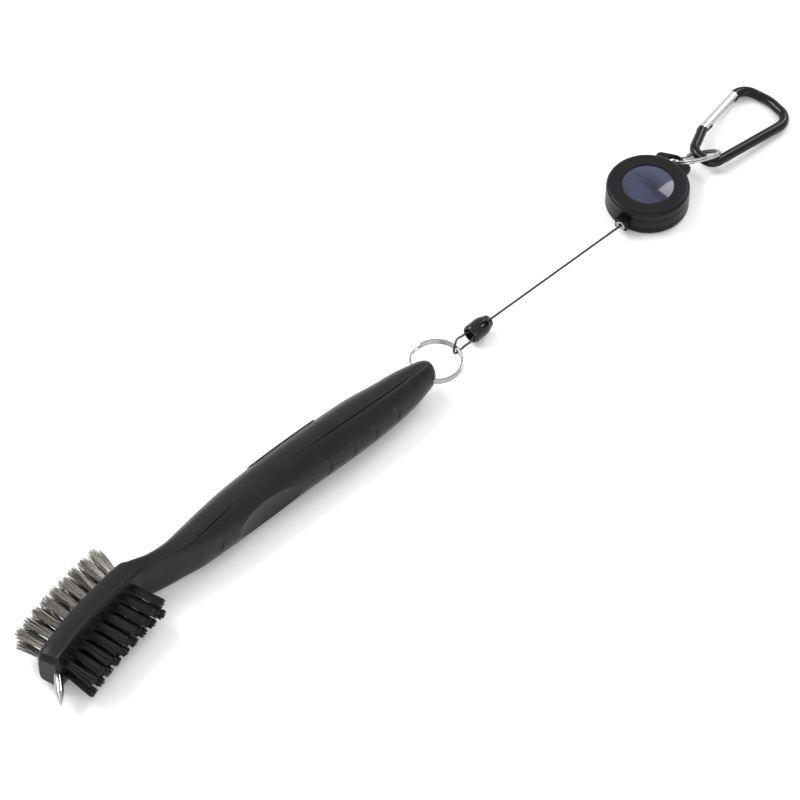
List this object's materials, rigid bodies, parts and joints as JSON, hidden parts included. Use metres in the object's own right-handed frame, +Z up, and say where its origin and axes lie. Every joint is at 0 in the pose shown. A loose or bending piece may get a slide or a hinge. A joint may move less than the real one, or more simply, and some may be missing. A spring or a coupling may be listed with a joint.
{
  "type": "club groove brush",
  "caption": "Two-sided golf club brush with wire and nylon bristles and a groove spike, on a retractable line with a carabiner.",
  "frame": {"origin": "centre of the whole layout's footprint, on the surface that it lies on", "axes": "+X from the brush's nose to its tail and on to the carabiner, +Y to the wire bristles, +Z up; the brush lies on its edge"},
  "size_m": [0.3906, 0.0518, 0.0193],
  "materials": {
    "core_plastic": "satin",
    "grip_rubber": "soft satin",
    "badge_plastic": "satin",
    "steel_wire": "drawn wire",
    "nylon": "semi-gloss bristle",
    "plain_steel": "plain",
    "polished_steel": "polished",
    "ring_chrome": "nickel plated",
    "black_cord": "braided",
    "gloss_plastic": "gloss",
    "case_plastic": "satin",
    "spool_plastic": "moulded",
    "label_navy": "printed",
    "clear_dome": "clear",
    "black_anodised": "gloss anodised",
    "bright_aluminium": "polished"
  },
  "bodies": {
    "brush": {"handle_core": "core_plastic", "grip_wire_side": "grip_rubber", "grip_nylon_side": "grip_rubber", "badge_plate": "badge_plastic", "wire_tufts_upper": "steel_wire", "wire_tufts_middle": "steel_wire", "wire_tufts_lower": "steel_wire", "nylon_tufts_upper": "nylon", "nylon_tufts_middle": "nylon", "nylon_tufts_lower": "nylon", "wire_staples": "plain_steel", "nylon_staples": "plain_steel", "groove_spike": "polished_steel"},
    "key_ring": {"key_ring": "ring_chrome"},
    "line_end": {"line_loop": "black_cord", "crimp_sleeve": "plain_steel", "cord_cap": "gloss_plastic", "line": "black_cord"},
    "reel": {"reel_case": "case_plastic", "front_cover": "case_plastic", "back_cover": "case_plastic", "line_grommet": "ring_chrome", "arbor": "plain_steel", "arbor_screw": "plain_steel", "power_spring": "plain_steel", "line_in_case": "black_cord", "label_disc": "label_navy", "label_dome": "clear_dome"},
    "spool": {"spool": "spool_plastic", "line_on_spool": "black_cord"},
    "reel_ring": {"reel_ring": "ring_chrome"},
    "carabiner": {"carabiner_body": "black_anodised", "gate_pin": "plain_steel"},
    "gate": {"carabiner_gate": "bright_aluminium", "gate_spring": "plain_steel", "gate_plunger": "plain_steel"}
  },
  "joints": [
    {"name": "key_ring_swing", "type": "hinge", "parent": "brush", "child": "key_ring", "pos_m": [-0.00494, -0.00111, 0.00965], "axis": [0, 1, 0], "range_deg": [-95, 95]},
    {"name": "loop_swing", "type": "hinge", "parent": "key_ring", "child": "line_end", "pos_m": [0.01339, -0.00029, 0.00965], "axis": [0.0872, 0.9962, 0], "range_deg": [-20, 25]},
    {"name": "line_pull", "type": "slide", "parent": "line_end", "child": "reel", "axis": [1, 0, 0], "range_m": [-0.066, 0.53], "deforming": ["line"]},
    {"name": "spool_spin", "type": "hinge", "parent": "reel", "child": "spool", "pos_m": [0.122, 0.00879, 0.0048], "axis": [0, 0, 1], "range_deg": [-480, 3900]},
    {"name": "reel_ring_swing", "type": "hinge", "parent": "reel", "child": "reel_ring", "pos_m": [0.14026, 0.01284, 0.0062], "axis": [0, 0, 1], "range_deg": [-3, 40]},
    {"name": "carabiner_swing", "type": "hinge", "parent": "reel_ring", "child": "carabiner", "pos_m": [0.15846, 0.00949, 0.0051], "axis": [0, 0, 1], "range_deg": [-45, 45]},
    {"name": "gate_pivot", "type": "hinge", "parent": "carabiner", "child": "gate", "pos_m": [0.16409, 0.01898, 0.00424], "axis": [-0.0652, 0.0046, -0.9979], "range_deg": [0, 28], "stiffness_Nm_per_rad": 0.06, "springref_deg": -17.19}
  ],
  "couplings": [
    {"joint": "spool_spin", "follows": "line_pull", "rad_per_m": 100}
  ]
}
